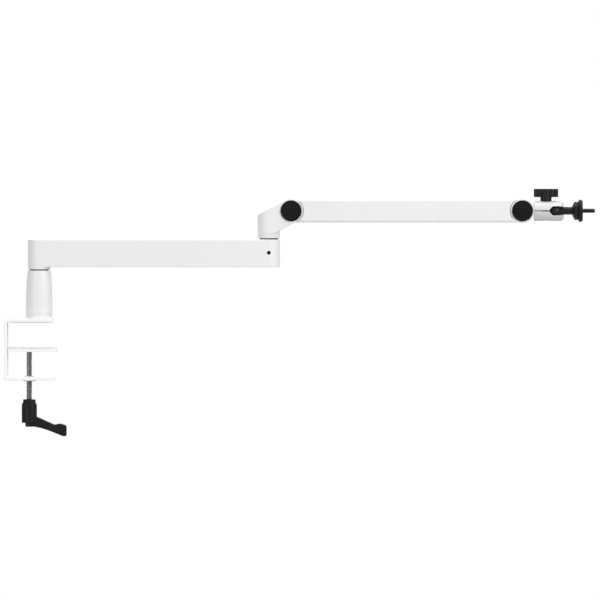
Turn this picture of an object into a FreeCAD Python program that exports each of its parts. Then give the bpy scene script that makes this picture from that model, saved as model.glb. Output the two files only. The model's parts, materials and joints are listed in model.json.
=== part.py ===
import FreeCAD, Part
import math
import os

from FreeCAD import Vector

# A low-profile desk boom arm: a screw clamp carries a short post, a hollow lower arm swivels on the
# post, a knuckle swivels at the lower arm's far end, an upper arm tilts in the knuckle, and a small
# ball head with a camera stud tilts at the upper arm's end.
#
# Frame: millimetres. Z is up, with Z = 0 on the desk top. The origin is on the base swivel axis.
# X runs along the straightened arm towards the head. The clamp's open side faces +X, and -Y is the
# front, where the bolt heads and the ball head's notch are.

# ---- driving dimensions -------------------------------------------------------------------------
ARM_WIDTH = 30.0          # both arms and the knuckle, across Y
LOWER_REACH = 310.0       # base axis to elbow swivel axis
ELBOW_REACH = 30.0        # elbow swivel axis to elbow pivot
UPPER_REACH = 312.0       # elbow pivot to head pivot
POST_TOP = 70.0           # top of the base post above the desk
LOWER_BOTTOM = 74.5       # underside of the lower arm above the desk
LOWER_HEIGHT = 37.5
PIVOT_HEIGHT = 150.5      # both pivots above the desk
UPPER_HEIGHT = 31.0
UPPER_WALL = 2.0
KNUCKLE_R = 16.4          # round heads of both knuckles
NECK_ANGLE = 28.0         # slope of the elbow knuckle's neck, degrees

CLAMP_DEPTH = 56.0        # clamp plates, across Y
PLATE = 4.5               # clamp plate thickness
CLAMP_BACK = -47.1        # outer face of the clamp's spine
TOP_JAW_END = 19.0
LOW_JAW_END = 21.7
LOW_JAW_TOP = -73.5
TOP_PAD = 1.0             # soft pad under the top jaw
SCREW_X = -13.5           # clamp screw axis
GRIP_TOP = -34.0          # top of the pressure pad at rest: a 34 mm desk
PRESSURE_PAD = 1.5
PRESSURE_PLATE = 4.0

BALL_R = 8.0
BALL_X_FROM_PIVOT = 45.0
HEAD_BODY_R = 13.75
CAMERA_STUD_R = 3.175     # quarter-inch camera thread

M3, M4, M5, M6, M8 = 1.5, 2.0, 2.5, 3.0, 4.0     # nominal thread radii
SPINDLE_R = 7.0           # both swivel spindles
RUN = 0.05                # radial clearance of a running or threaded fit
PRESS = 0.02              # radial gap left at a pressed fit

# ---- derived places -----------------------------------------------------------------------------
HALF_WIDTH = ARM_WIDTH / 2
PLATE_TOP = TOP_PAD + PLATE
LOWER_TOP = LOWER_BOTTOM + LOWER_HEIGHT
ELBOW_X = LOWER_REACH
PIVOT_X = ELBOW_X + ELBOW_REACH
HEAD_X = PIVOT_X + UPPER_REACH
BALL_X = HEAD_X + BALL_X_FROM_PIVOT
PLATE_LOW = GRIP_TOP - PRESSURE_PAD - PRESSURE_PLATE

WASHER = 1.5              # swivel thrust washers
COLLAR_BOTTOM = POST_TOP + WASHER
KNUCKLE_BOTTOM = LOWER_TOP + WASHER

TONGUE = 5.8              # half thickness of the hinge tongues
CHEEK_INNER = 7.0         # inner faces of the hinge cheeks, from the mid-plane
CUP_DEPTH = 5.0           # recess in each cheek for the bolt head or nut
CUP_R = 12.0
CUT_R = 17.0              # hollow end of the upper arm round a knuckle
HEAD_FLAT = 15.8          # seat of the ball head, from the head pivot

X, Y, Z = Vector(1, 0, 0), Vector(0, 1, 0), Vector(0, 0, 1)


# ---- shape helpers ------------------------------------------------------------------------------
def cylinder(radius, start, end, at=(0, 0), axis="Z"):
    """A cylinder from start to end along an axis; at holds its other two coordinates, in X, Y, Z order."""
    a, b = at
    base = {"X": Vector(start, a, b), "Y": Vector(a, start, b), "Z": Vector(a, b, start)}[axis]
    return Part.makeCylinder(radius, end - start, base, {"X": X, "Y": Y, "Z": Z}[axis])


def ring(outer, inner, start, end, at=(0, 0), axis="Z"):
    hole = cylinder(inner, start - 1, end + 1, at, axis)
    return cylinder(outer, start, end, at, axis).cut(hole)


def box(x0, x1, y0, y1, z0, z1):
    return Part.makeBox(x1 - x0, y1 - y0, z1 - z0, Vector(x0, y0, z0))


def turned(profile, at=(0, 0)):
    """A solid turned about a vertical axis from (radius, height) corners."""
    points = [Vector(r + at[0], at[1], z) for r, z in profile]
    face = Part.Face(Part.makePolygon(points + points[:1]))
    return face.revolve(Vector(at[0], at[1], 0), Z, 360)


def turned_along_x(profile, z):
    """A solid turned about a line along X at height z from (x, radius) corners."""
    points = [Vector(x, 0, z + r) for x, r in profile]
    face = Part.Face(Part.makePolygon(points + points[:1]))
    return face.revolve(Vector(0, 0, z), X, 360)


def side_plate(outline, y0, y1):
    """A plate between two Y planes from a list of edges or (x, z) corners in the XZ plane."""
    if isinstance(outline[0], tuple):
        points = [Vector(x, y0, z) for x, z in outline]
        wire = Part.makePolygon(points + points[:1])
    else:
        wire = Part.Wire(outline)
    return Part.Face(wire).extrude(Vector(0, y1 - y0, 0))


def stadium(radius, x0, x1, z0, z1):
    """An upright slab with round ends about X = x0 and X = x1."""
    middle = box(x0, x1, -radius, radius, z0, z1)
    ends = [cylinder(radius, z0, z1, (x, 0)) for x in (x0, x1)]
    return middle.multiFuse(ends).removeSplitter()


def polygon_prism(radii, start, end, at):
    """An upright prism whose corner radii repeat round a vertical axis."""
    step = 2 * math.pi / len(radii)
    corners = [
        Vector(at[0] + r * math.cos(i * step), at[1] + r * math.sin(i * step), start)
        for i, r in enumerate(radii)
    ]
    face = Part.Face(Part.makePolygon(corners + corners[:1]))
    return face.extrude(Vector(0, 0, end - start))


def hexagon(across_flats, start, end, at=(0, 0)):
    return polygon_prism([across_flats / math.sqrt(3)] * 6, start, end, at)


def aim(shape, place, direction):
    """Moves a shape built at the origin along +Z to a place, pointing along a direction."""
    turned_shape = shape.copy()
    turned_shape.Placement = FreeCAD.Placement(Vector(*place), FreeCAD.Rotation(Z, direction))
    return turned_shape


def countersunk_screw(radius, length, key):
    """Head face at the origin, shank along +Z."""
    head_r = 1.9 * radius
    head_h = head_r - radius
    profile = [(0, 0), (head_r, 0), (head_r, 0.3), (radius, head_h + 0.3), (radius, length), (0, length)]
    return turned(profile).cut(hexagon(key, -1, head_h))


def countersunk_hole(radius, length):
    """The space a countersunk screw needs, with clearance."""
    head_r = 1.9 * radius + 0.15
    head_h = head_r - radius
    shank = radius + RUN
    profile = [(0, -1), (head_r, -1), (head_r, 0.35), (shank, head_h + 0.3), (shank, length), (0, length)]
    return turned(profile)


def socket_screw(radius, length, key):
    """Cap screw: underside of the head at the origin, shank along +Z, head towards -Z."""
    head_h = 2 * radius
    head = cylinder(1.65 * radius, -head_h, 0)
    head = head.makeFillet(0.15 * radius, flat_edges(head, -head_h))
    return head.fuse(cylinder(radius, 0, length)).cut(hexagon(key, -head_h - 1, -radius))


def edges_where(shape, test):
    return [e for e in shape.Edges if test(e.BoundBox, e)]


def flat_edges(shape, z):
    """Edges that lie in one horizontal plane."""
    return edges_where(shape, lambda b, e: abs(b.ZMin - z) < 0.01 and abs(b.ZMax - z) < 0.01)


def end_edges(shape, x):
    """Edges that lie in one plane across X."""
    return edges_where(shape, lambda b, e: abs(b.XMin - x) < 0.01 and abs(b.XMax - x) < 0.01)


def save(name, shape):
    solids = shape.Solids
    shape = solids[0] if len(solids) == 1 else Part.makeCompound(solids)
    if not shape.isValid():
        raise ValueError(name + " is not a valid solid")
    shape.exportStep("parts/" + name + ".step")


# ---- clamp --------------------------------------------------------------------------------------
POST_SCREW_PLACES = [
    (14.5 * math.cos(math.radians(45 + 90 * i)), 14.5 * math.sin(math.radians(45 + 90 * i)))
    for i in range(4)
]
INSERT_R = 6.5
INSERT_FLANGE_R = 8.5
INSERT_FLANGE = 1.5


def clamp_bracket():
    low_jaw_bottom = LOW_JAW_TOP - PLATE
    outline = [
        (CLAMP_BACK, low_jaw_bottom), (LOW_JAW_END, low_jaw_bottom), (LOW_JAW_END, LOW_JAW_TOP),
        (CLAMP_BACK + PLATE, LOW_JAW_TOP), (CLAMP_BACK + PLATE, TOP_PAD), (TOP_JAW_END, TOP_PAD),
        (TOP_JAW_END, PLATE_TOP), (CLAMP_BACK, PLATE_TOP),
    ]
    half = CLAMP_DEPTH / 2
    bracket = side_plate(outline, -half, half)
    bends = edges_where(bracket, lambda b, e: b.YLength > 50 and b.XMax < CLAMP_BACK + 0.01)
    bracket = bracket.makeFillet(4.0, bends)
    inner = edges_where(
        bracket, lambda b, e: b.YLength > 50 and abs(b.XMin - CLAMP_BACK - PLATE) < 0.01 and b.ZLength < 0.01
    )
    bracket = bracket.makeFillet(1.5, inner)
    ends = edges_where(bracket, lambda b, e: b.XMin > 15 and b.ZLength > 4 and b.YLength < 0.01)
    bracket = bracket.makeFillet(5.0, ends)
    bracket = bracket.makeFillet(0.6, flat_edges(bracket, PLATE_TOP) + flat_edges(bracket, low_jaw_bottom))
    for x, y in POST_SCREW_PLACES:
        bracket = bracket.cut(aim(countersunk_hole(M4, 20), (x, y, TOP_PAD), Z))
    hole = cylinder(INSERT_R + PRESS, low_jaw_bottom - 1, LOW_JAW_TOP + 1, (SCREW_X, 0))
    return bracket.cut(hole)


def jaw_insert():
    """Threaded steel bush pressed into the lower jaw from below."""
    low_jaw_bottom = LOW_JAW_TOP - PLATE
    body = cylinder(INSERT_R, low_jaw_bottom - 0.01, LOW_JAW_TOP + 1.0, (SCREW_X, 0))
    flange = cylinder(INSERT_FLANGE_R, low_jaw_bottom - INSERT_FLANGE, low_jaw_bottom, (SCREW_X, 0))
    flange = flange.makeFillet(0.5, flat_edges(flange, low_jaw_bottom - INSERT_FLANGE))
    hole = cylinder(M8 + RUN, low_jaw_bottom - 5, LOW_JAW_TOP + 5, (SCREW_X, 0))
    return body.fuse(flange).cut(hole)


def top_pad():
    pad = box(CLAMP_BACK + PLATE + 3, TOP_JAW_END - 1, -CLAMP_DEPTH / 2 + 2, CLAMP_DEPTH / 2 - 2, 0, TOP_PAD)
    corners = edges_where(pad, lambda b, e: b.ZLength > TOP_PAD / 2)
    return pad.makeFillet(4.0, corners)


def post_screws():
    screw = countersunk_screw(M4, 14, 2.5)
    return Part.makeCompound([aim(screw, (x, y, TOP_PAD), Z) for x, y in POST_SCREW_PLACES])


# ---- base post ----------------------------------------------------------------------------------
FOOT_R = 18.2
POST_LOW_R = 17.8
POST_MIDDLE_R = 17.2
POST_TOP_R = 15.5
BUSH_R = 9.0
BUSH_FLANGE_R = 11.5
BUSH_FLANGE = 1.5
POST_SHOULDER = 24.0      # lower bush seat above the desk
UPPER_BUSH_LENGTH = 16.0
RETAINER = 1.5            # washer under the spindle
SPINDLE_BOTTOM = POST_SHOULDER - BUSH_FLANGE - 0.2


def base_post():
    """Tapering round post with a foot ring, two fine grooves and a stepped bore for the bushes."""
    foot_top = PLATE_TOP + 2
    swell_start = foot_top + 4
    corners = [
        (0, PLATE_TOP), (FOOT_R, PLATE_TOP), (FOOT_R, foot_top), (POST_LOW_R, foot_top),
        (POST_LOW_R, swell_start),
    ]
    points = [Vector(r, 0, z) for r, z in corners]
    middle = Vector(POST_MIDDLE_R, 0, (swell_start + POST_TOP) / 2 + 7)
    swell = Part.Arc(points[-1], middle, Vector(POST_TOP_R, 0, POST_TOP)).toShape()
    lid = Part.makePolygon([Vector(POST_TOP_R, 0, POST_TOP), Vector(0, 0, POST_TOP), points[0]])
    wire = Part.Wire(Part.makePolygon(points).Edges + [swell] + lid.Edges)
    post = Part.Face(wire).revolve(Vector(0, 0, 0), Z, 360)
    post = post.makeFillet(0.8, flat_edges(post, POST_TOP))
    for z in (foot_top + 1.5, foot_top + 4.0):
        post = post.cut(ring(POST_LOW_R + 2, POST_LOW_R - 0.45, z, z + 0.7))
    post = post.cut(cylinder(BUSH_R + PRESS, POST_SHOULDER, POST_TOP + 1))
    post = post.cut(cylinder(BUSH_FLANGE_R + PRESS, POST_TOP - BUSH_FLANGE, POST_TOP + 1))
    post = post.cut(cylinder(BUSH_FLANGE_R + PRESS, PLATE_TOP - 1, POST_SHOULDER))
    for x, y in POST_SCREW_PLACES:
        post = post.cut(cylinder(M4 + RUN, PLATE_TOP - 1, PLATE_TOP + 12, (x, y)))
    return post


def base_upper_bush():
    bush = cylinder(BUSH_R, POST_TOP - UPPER_BUSH_LENGTH, POST_TOP - 0.5)
    flange = cylinder(BUSH_FLANGE_R, POST_TOP - BUSH_FLANGE, POST_TOP)
    return bush.fuse(flange).cut(cylinder(SPINDLE_R + RUN, 0, 200))


def base_lower_bush():
    bush = cylinder(BUSH_R, POST_SHOULDER - 0.5, POST_SHOULDER + UPPER_BUSH_LENGTH)
    flange = cylinder(BUSH_FLANGE_R, POST_SHOULDER - BUSH_FLANGE, POST_SHOULDER)
    return bush.fuse(flange).cut(cylinder(SPINDLE_R + RUN, 0, 200))


def base_thrust_washer():
    return ring(13.0, SPINDLE_R + RUN, POST_TOP, COLLAR_BOTTOM)


# ---- lower arm ----------------------------------------------------------------------------------
CAVITY_START, CAVITY_END = 16.0, LOWER_REACH - 16.0
COVER_HALF = 13.0
COVER = 2.0
COVER_SCREW_XS = [CAVITY_START + 22, LOWER_REACH / 2, CAVITY_END - 22]
SPINDLE_GRIP = 26.0       # length of a spindle held in its casting
GRUB_HEIGHT = LOWER_BOTTOM + 19.5
ELBOW_SPINDLE_BOTTOM = LOWER_BOTTOM + 6.5
ELBOW_BUSH_R = 10.0
ELBOW_FLANGE_R = 11.8


def lower_arm_shell():
    """Casting: a round-ended channel open below, solid round each swivel axis, with the base collar."""
    shell = stadium(HALF_WIDTH, 0, LOWER_REACH, LOWER_BOTTOM, LOWER_TOP)
    shell = shell.makeFillet(1.6, flat_edges(shell, LOWER_TOP))
    shell = shell.makeFillet(1.0, flat_edges(shell, LOWER_BOTTOM))
    collar = cylinder(HALF_WIDTH, COLLAR_BOTTOM, LOWER_BOTTOM + 3)
    collar = collar.makeFillet(0.6, flat_edges(collar, COLLAR_BOTTOM))
    shell = shell.fuse(collar)
    cavity = box(CAVITY_START + 1, CAVITY_END - 1, -12, 12, LOWER_BOTTOM - 1, LOWER_TOP - 2.5)
    cavity = cavity.makeFillet(2.0, edges_where(cavity, lambda b, e: b.ZLength > 20))
    pocket = box(CAVITY_START, CAVITY_END, -COVER_HALF, COVER_HALF, LOWER_BOTTOM - 1, LOWER_BOTTOM + COVER)
    pocket = pocket.makeFillet(2.0, edges_where(pocket, lambda b, e: b.ZLength > 2))
    shell = shell.cut(cavity).cut(pocket)
    for x in COVER_SCREW_XS:
        post = ring(3.8, M3 + RUN, LOWER_BOTTOM + COVER, LOWER_TOP - 2, (x, 0))
        roof = cylinder(4.0, LOWER_TOP - 14, LOWER_TOP - 2, (x, 0))
        shell = shell.fuse(post).fuse(roof)
    shell = shell.cut(cylinder(SPINDLE_R + PRESS, COLLAR_BOTTOM - 1, COLLAR_BOTTOM + SPINDLE_GRIP + 1))
    at_elbow = (ELBOW_X, 0)
    shell = shell.cut(cylinder(ELBOW_BUSH_R + PRESS, LOWER_BOTTOM + 4, LOWER_TOP + 1, at_elbow))
    shell = shell.cut(cylinder(ELBOW_FLANGE_R + PRESS, LOWER_TOP - BUSH_FLANGE, LOWER_TOP + 1, at_elbow))
    grub_hole = cylinder(M5 + RUN, -HALF_WIDTH - 1, -ELBOW_BUSH_R + 2, (ELBOW_X, GRUB_HEIGHT), "Y")
    return shell.cut(grub_hole)


def lower_arm_cover():
    cover = box(
        CAVITY_START + 0.15, CAVITY_END - 0.15, -COVER_HALF + 0.15, COVER_HALF - 0.15,
        LOWER_BOTTOM, LOWER_BOTTOM + COVER,
    )
    cover = cover.makeFillet(1.9, edges_where(cover, lambda b, e: b.ZLength > 1))
    cover = cover.makeFillet(0.3, flat_edges(cover, LOWER_BOTTOM))
    for x in COVER_SCREW_XS:
        cover = cover.cut(aim(countersunk_hole(M3, 10), (x, 0, LOWER_BOTTOM), Z))
    return cover


def cover_screws():
    screw = countersunk_screw(M3, 9, 2.0)
    return Part.makeCompound([aim(screw, (x, 0, LOWER_BOTTOM), Z) for x in COVER_SCREW_XS])


def base_spindle():
    spindle = cylinder(SPINDLE_R, SPINDLE_BOTTOM, COLLAR_BOTTOM + SPINDLE_GRIP)
    spindle = spindle.makeChamfer(0.8, flat_edges(spindle, SPINDLE_BOTTOM))
    return spindle.cut(cylinder(M6 + RUN, SPINDLE_BOTTOM - 1, SPINDLE_BOTTOM + 16))


def base_retainer_washer():
    return ring(10.5, M6 + 0.3, SPINDLE_BOTTOM - RETAINER, SPINDLE_BOTTOM)


def base_retainer_screw():
    return aim(socket_screw(M6, 16, 5.0), (0, 0, SPINDLE_BOTTOM - RETAINER), Z)


def elbow_bush():
    at = (ELBOW_X, 0)
    bush = cylinder(ELBOW_BUSH_R, LOWER_BOTTOM + 6, LOWER_TOP - 0.5, at)
    flange = cylinder(ELBOW_FLANGE_R, LOWER_TOP - BUSH_FLANGE, LOWER_TOP, at)
    bush = bush.fuse(flange).cut(cylinder(SPINDLE_R + RUN, 0, 200, at))
    window = cylinder(M5, -HALF_WIDTH, 0, (ELBOW_X, GRUB_HEIGHT), "Y")
    return bush.cut(window)


GRUB_FACE = -HALF_WIDTH + 1.6
GROOVE_R = SPINDLE_R - 1.4


def elbow_grub_screw():
    """Dog-point screw whose tip runs in the elbow spindle's groove."""
    at = (ELBOW_X, GRUB_HEIGHT)
    thread = cylinder(M5, GRUB_FACE, -ELBOW_BUSH_R - 0.1, at, "Y")
    tip = cylinder(1.6, -ELBOW_BUSH_R - 0.2, -GROOVE_R - 0.15, at, "Y")
    socket = aim(hexagon(2.5, -1, 2.6), (ELBOW_X, GRUB_FACE, GRUB_HEIGHT), Y)
    return thread.fuse(tip).cut(socket)


def elbow_thrust_washer():
    return ring(12.5, SPINDLE_R + RUN, LOWER_TOP, KNUCKLE_BOTTOM, (ELBOW_X, 0))


# ---- elbow --------------------------------------------------------------------------------------
ELBOW_GRIP = 22.0


def elbow_spindle():
    at = (ELBOW_X, 0)
    spindle = cylinder(SPINDLE_R, ELBOW_SPINDLE_BOTTOM, KNUCKLE_BOTTOM + ELBOW_GRIP, at)
    spindle = spindle.makeChamfer(0.8, flat_edges(spindle, ELBOW_SPINDLE_BOTTOM))
    return spindle.cut(ring(SPINDLE_R + 2, GROOVE_R, GRUB_HEIGHT - 2, GRUB_HEIGHT + 2, at))


def hinge_cups(x, drill):
    """The spaces in both cheeks of a hinge for its bolt head, nut and caps."""
    at = (x, PIVOT_HEIGHT)
    front = cylinder(CUP_R, -HALF_WIDTH - 1, -HALF_WIDTH + CUP_DEPTH, at, "Y")
    back = cylinder(CUP_R, HALF_WIDTH - CUP_DEPTH, HALF_WIDTH + 1, at, "Y")
    bolt = cylinder(drill, -HALF_WIDTH, HALF_WIDTH, at, "Y")
    return front.fuse(back).fuse(bolt)


def elbow_knuckle():
    slope = math.radians(NECK_ANGLE)
    along = Vector(math.cos(slope), 0, math.sin(slope))
    up = Vector(-math.sin(slope), 0, math.cos(slope))
    centre = Vector(PIVOT_X, 0, PIVOT_HEIGHT)
    top_tangent = centre + up * KNUCKLE_R
    low_tangent = centre - up * KNUCKLE_R
    left = ELBOW_X - HALF_WIDTH
    shoulder_x = left + 5.5
    shoulder = top_tangent - along * ((top_tangent.x - shoulder_x) / along.x)
    root = low_tangent - along * ((low_tangent.x - ELBOW_X) / along.x)
    shoulder_drop = 3.9
    corners = [
        top_tangent, shoulder, Vector(left, 0, shoulder.z - shoulder_drop), Vector(left, 0, root.z), root,
        low_tangent,
    ]
    nose = Part.Arc(low_tangent, centre + along * KNUCKLE_R, top_tangent).toShape()
    wire = Part.Wire(Part.makePolygon(corners).Edges + [nose])
    band = Part.Face(wire).extrude(Vector(0, ARM_WIDTH, 0))
    band.translate(Vector(0, -HALF_WIDTH, 0))
    rims = edges_where(band, lambda b, e: b.YLength < 0.01 and b.XMax > ELBOW_X + 16)
    band = band.makeFillet(1.2, rims)
    plan = stadium(HALF_WIDTH, ELBOW_X, PIVOT_X + 40, 0, 300)
    foot = cylinder(HALF_WIDTH, KNUCKLE_BOTTOM, shoulder.z - shoulder_drop, (ELBOW_X, 0))
    body = band.common(plan).fuse(foot).removeSplitter()
    body = body.makeFillet(0.8, flat_edges(body, KNUCKLE_BOTTOM))
    for z in (KNUCKLE_BOTTOM + 2.6, KNUCKLE_BOTTOM + 5.6):
        body = body.cut(ring(HALF_WIDTH + 2, HALF_WIDTH - 0.4, z, z + 0.7, (ELBOW_X, 0)))
    at = (PIVOT_X, PIVOT_HEIGHT)
    body = body.cut(cylinder(CUT_R + 0.2, -CHEEK_INNER, CHEEK_INNER, at, "Y"))
    body = body.cut(hinge_cups(PIVOT_X, M8 + RUN))
    bore = cylinder(SPINDLE_R + PRESS, KNUCKLE_BOTTOM - 1, KNUCKLE_BOTTOM + ELBOW_GRIP + 1, (ELBOW_X, 0))
    return body.cut(bore)


def pivot_bolt(x):
    """Button-head hinge bolt, head at the front."""
    at = (x, PIVOT_HEIGHT)
    seat = -HALF_WIDTH + CUP_DEPTH
    head = cylinder(7.0, seat - 4.2, seat, at, "Y")
    rim = edges_where(head, lambda b, e: abs(b.YMax - seat + 4.2) < 0.01)
    head = head.makeFillet(2.6, rim)
    shank = cylinder(M8, seat, HALF_WIDTH + 0.6, at, "Y")
    socket = aim(hexagon(5.0, -1, 2.6), (x, seat - 4.2, PIVOT_HEIGHT), Y)
    return head.fuse(shank).cut(socket)


def pivot_disc_spring(x):
    """A pair of disc springs behind the nut keeps the hinge's friction steady."""
    seat = HALF_WIDTH - CUP_DEPTH
    profile = [(4.2, 0.55), (8.0, 0.0), (8.0, 0.6), (4.2, 1.15)]
    return aim(turned(profile), (x, seat, PIVOT_HEIGHT), Y)


def pivot_nut(x):
    """Thin lock nut."""
    start = HALF_WIDTH - CUP_DEPTH + 1.15
    nut = hexagon(13.0, 0, 3.6).cut(cylinder(M8 + RUN, -1, 5))
    round_off = Part.makeCone(9.2, 6.6, 2.6, Vector(0, 0, 2.0)).fuse(cylinder(9.2, 0, 2.0))
    return aim(nut.common(round_off), (x, start, PIVOT_HEIGHT), Y)


CAP_R = 14.2
CAP = 2.4


def hinge_cap(x, side):
    """Push-in cap: a dished disc proud of the cheek with a skirt inside the recess."""
    profile = [
        (0, 1.0), (10.9, 1.0), (10.9, -3.4), (CUP_R - RUN, -3.4), (CUP_R - RUN, 0), (CAP_R, 0),
        (CAP_R, CAP - 0.9), (CAP_R - 0.9, CAP), (0, CAP),
    ]
    return aim(turned(profile), (x, side * HALF_WIDTH, PIVOT_HEIGHT), Y * side)


# ---- upper arm ----------------------------------------------------------------------------------
TUBE_IN_Y = HALF_WIDTH - UPPER_WALL
TUBE_IN_Z = UPPER_HEIGHT / 2 - UPPER_WALL
BLOCK_LENGTH = 56.0
BLOCK_SCREWS = (32.0, 48.0)      # from each pivot
SLEEVE_R = 6.0
TONGUE_HALF_HEIGHT = 12.0
HEAD_TONGUE_R = 10.4
UPPER_BOTTOM = PIVOT_HEIGHT - UPPER_HEIGHT / 2
UPPER_CORNER = 2.6        # outer corner radius of the tube's section
BLOCK_CORNER = 0.8
STOP_HALF_WIDTH = HALF_WIDTH - UPPER_CORNER
STOP_GAP = 0.01           # gap left between the stop lip and the neck


def upper_arm_bar(half_y, half_z, corner, x0, x1):
    bar = box(x0, x1, -half_y, half_y, PIVOT_HEIGHT - half_z, PIVOT_HEIGHT + half_z)
    return bar.makeFillet(corner, edges_where(bar, lambda b, e: b.XLength > 20))


def stop_lip():
    """Lip on the tube's lower wall that rests on the neck's underside when the arm is level."""
    lip = box(
        PIVOT_X + 4, PIVOT_X + 14, -STOP_HALF_WIDTH, STOP_HALF_WIDTH, UPPER_BOTTOM, UPPER_BOTTOM + UPPER_WALL
    )
    # the lip ends where the neck's sloping underside crosses the plane of the arm's underside
    slope = math.radians(NECK_ANGLE)
    reach = (KNUCKLE_R - UPPER_HEIGHT / 2 * math.cos(slope)) / math.sin(slope)
    stop_r = math.hypot(reach, UPPER_HEIGHT / 2) + STOP_GAP
    return lip.cut(cylinder(stop_r, -HALF_WIDTH, HALF_WIDTH, (PIVOT_X, PIVOT_HEIGHT), "Y"))


def upper_arm_tube():
    start, end = PIVOT_X + 6, HEAD_X - 6
    outer = upper_arm_bar(HALF_WIDTH, UPPER_HEIGHT / 2, UPPER_CORNER, start, end)
    inner = upper_arm_bar(TUBE_IN_Y, TUBE_IN_Z, BLOCK_CORNER, start - 1, end + 1)
    tube = outer.cut(inner)
    for x in (PIVOT_X, HEAD_X):
        tube = tube.cut(cylinder(CUT_R, -HALF_WIDTH - 1, HALF_WIDTH + 1, (x, PIVOT_HEIGHT), "Y"))
    tube = tube.fuse(stop_lip())
    for x in block_screw_xs():
        tube = tube.cut(aim(countersunk_hole(M4, UPPER_HEIGHT / 2), (x, 0, UPPER_BOTTOM), Z))
    return tube


def block_screw_xs():
    return [PIVOT_X + d for d in BLOCK_SCREWS] + [HEAD_X - d for d in BLOCK_SCREWS]


def hinge_block(pivot, direction, tongue_r, half_height):
    """End block of the upper arm: it fills the tube's end and carries the hinge tongue."""
    block_x = sorted((pivot + direction * 5, pivot + direction * (BLOCK_LENGTH + 4)))
    block = upper_arm_bar(TUBE_IN_Y - RUN, TUBE_IN_Z - RUN, BLOCK_CORNER, *block_x)
    at = (pivot, PIVOT_HEIGHT)
    block = block.cut(cylinder(CUT_R + 0.5, -HALF_WIDTH, HALF_WIDTH, at, "Y"))
    hollow_x = sorted((pivot + direction * 26, pivot + direction * (BLOCK_LENGTH - 2)))
    for side in (-1, 1):
        ys = sorted((side * 5.5, side * (TUBE_IN_Y - 2.5)))
        hollow = box(*hollow_x, *ys, PIVOT_HEIGHT - 2, PIVOT_HEIGHT + TUBE_IN_Z + 1)
        block = block.cut(hollow)
    tongue_x = sorted((pivot, pivot + direction * 25))
    tongue = box(
        *tongue_x, -TONGUE, TONGUE, PIVOT_HEIGHT - half_height, PIVOT_HEIGHT + half_height
    ).fuse(cylinder(tongue_r, -TONGUE, TONGUE, at, "Y"))
    block = block.fuse(tongue).cut(cylinder(SLEEVE_R + PRESS, -TONGUE - 1, TONGUE + 1, at, "Y"))
    for distance in BLOCK_SCREWS:
        x = pivot + direction * distance
        block = block.cut(cylinder(M4 + RUN, UPPER_BOTTOM, UPPER_BOTTOM + 14, (x, 0)))
    return block


def pivot_sleeve(x):
    return ring(SLEEVE_R, M8 + RUN, -TONGUE, TONGUE, (x, PIVOT_HEIGHT), "Y")


def friction_washers(x, radius):
    at = (x, PIVOT_HEIGHT)
    front = ring(radius, M8 + 0.3, -CHEEK_INNER + RUN, -TONGUE, at, "Y")
    back = ring(radius, M8 + 0.3, TONGUE, CHEEK_INNER - RUN, at, "Y")
    return Part.makeCompound([front, back])


def block_screws():
    screw = countersunk_screw(M4, 12, 2.5)
    return Part.makeCompound([aim(screw, (x, 0, UPPER_BOTTOM), Z) for x in block_screw_xs()])


# ---- head knuckle and ball head -----------------------------------------------------------------
WEB = 4.8                 # head knuckle's wall behind the ball head
BODY_START = HEAD_X + HEAD_FLAT
BODY_END = BALL_X + 11.5
KNOB_X = BALL_X - 13.0
NOTCH_HALF = 6.2
SPLIT_HALF = 0.8
SEAM_DEPTH = 4.0          # groove that carries the slit's line on to the head knuckle
MOUTH_ANGLE = 22.0        # half angle of the socket's mouth
STEM_R = 5.3
KNOB_SEAT = PIVOT_HEIGHT + HEAD_BODY_R - 1.0
KNOB_WING_LOW = PIVOT_HEIGHT + 18.4
KNOB_TOP = KNOB_WING_LOW + 11.2
KNOB_STEM_R = 7.6
WING_REACH = 16.4
WING_HALF = 4.6


def head_knuckle():
    at = (HEAD_X, PIVOT_HEIGHT)
    body = cylinder(KNUCKLE_R, -HALF_WIDTH, HALF_WIDTH, at, "Y")
    body = body.cut(box(BODY_START, HEAD_X + 30, -20, 20, 100, 200))
    body = body.makeFillet(1.2, edges_where(body, lambda b, e: b.YLength < 0.01))
    gap = box(
        HEAD_X - 20, BODY_START - WEB, -CHEEK_INNER, CHEEK_INNER, PIVOT_HEIGHT - 20, PIVOT_HEIGHT + 20
    )
    body = body.cut(gap).cut(hinge_cups(HEAD_X, M8 + RUN))
    screw_space = aim(countersunk_hole(M5, 20), (BODY_START - WEB, 0, PIVOT_HEIGHT), X)
    return body.cut(screw_space)


def ball_head_screw():
    """Joins the ball head to the head knuckle, its head inside the hinge gap."""
    return aim(countersunk_screw(M5, 13, 3.0), (BODY_START - WEB, 0, PIVOT_HEIGHT), X)


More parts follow.
